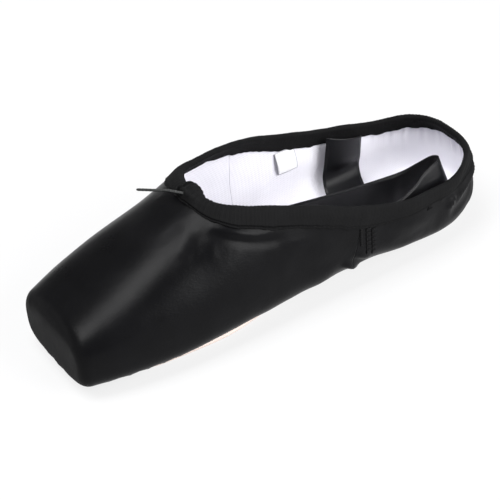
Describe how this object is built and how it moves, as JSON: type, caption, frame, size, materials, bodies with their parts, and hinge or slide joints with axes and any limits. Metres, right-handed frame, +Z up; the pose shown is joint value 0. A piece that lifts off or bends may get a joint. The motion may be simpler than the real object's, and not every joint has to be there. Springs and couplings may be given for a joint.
{
  "type": "pointe shoe",
  "caption": "Straight pointe shoe with a flat platform, stiff box, soft drawstring collar, thin leather sole and ribbons tucked inside.",
  "frame": {"origin": "on the floor under the middle of the shoe", "axes": "+Z up, the toe platform faces -Y, the heel is at +Y"},
  "size_m": [0.078, 0.2399, 0.0725],
  "materials": {
    "satin": "black satin, soft broad sheen",
    "white_cotton": "plain woven cotton lining",
    "sole_leather": "matte split leather",
    "casing_tape": "matte ribbed cotton tape",
    "cord": "waxed cotton cord",
    "ribbon_satin": "black satin ribbon"
  },
  "bodies": {
    "root": {"upper": "satin", "outsole": "sole_leather", "insole": "white_cotton", "collar_casing": "casing_tape", "drawstring": "cord", "ribbon_near": "ribbon_satin", "ribbon_far": "ribbon_satin"}
  },
  "joints": []
}
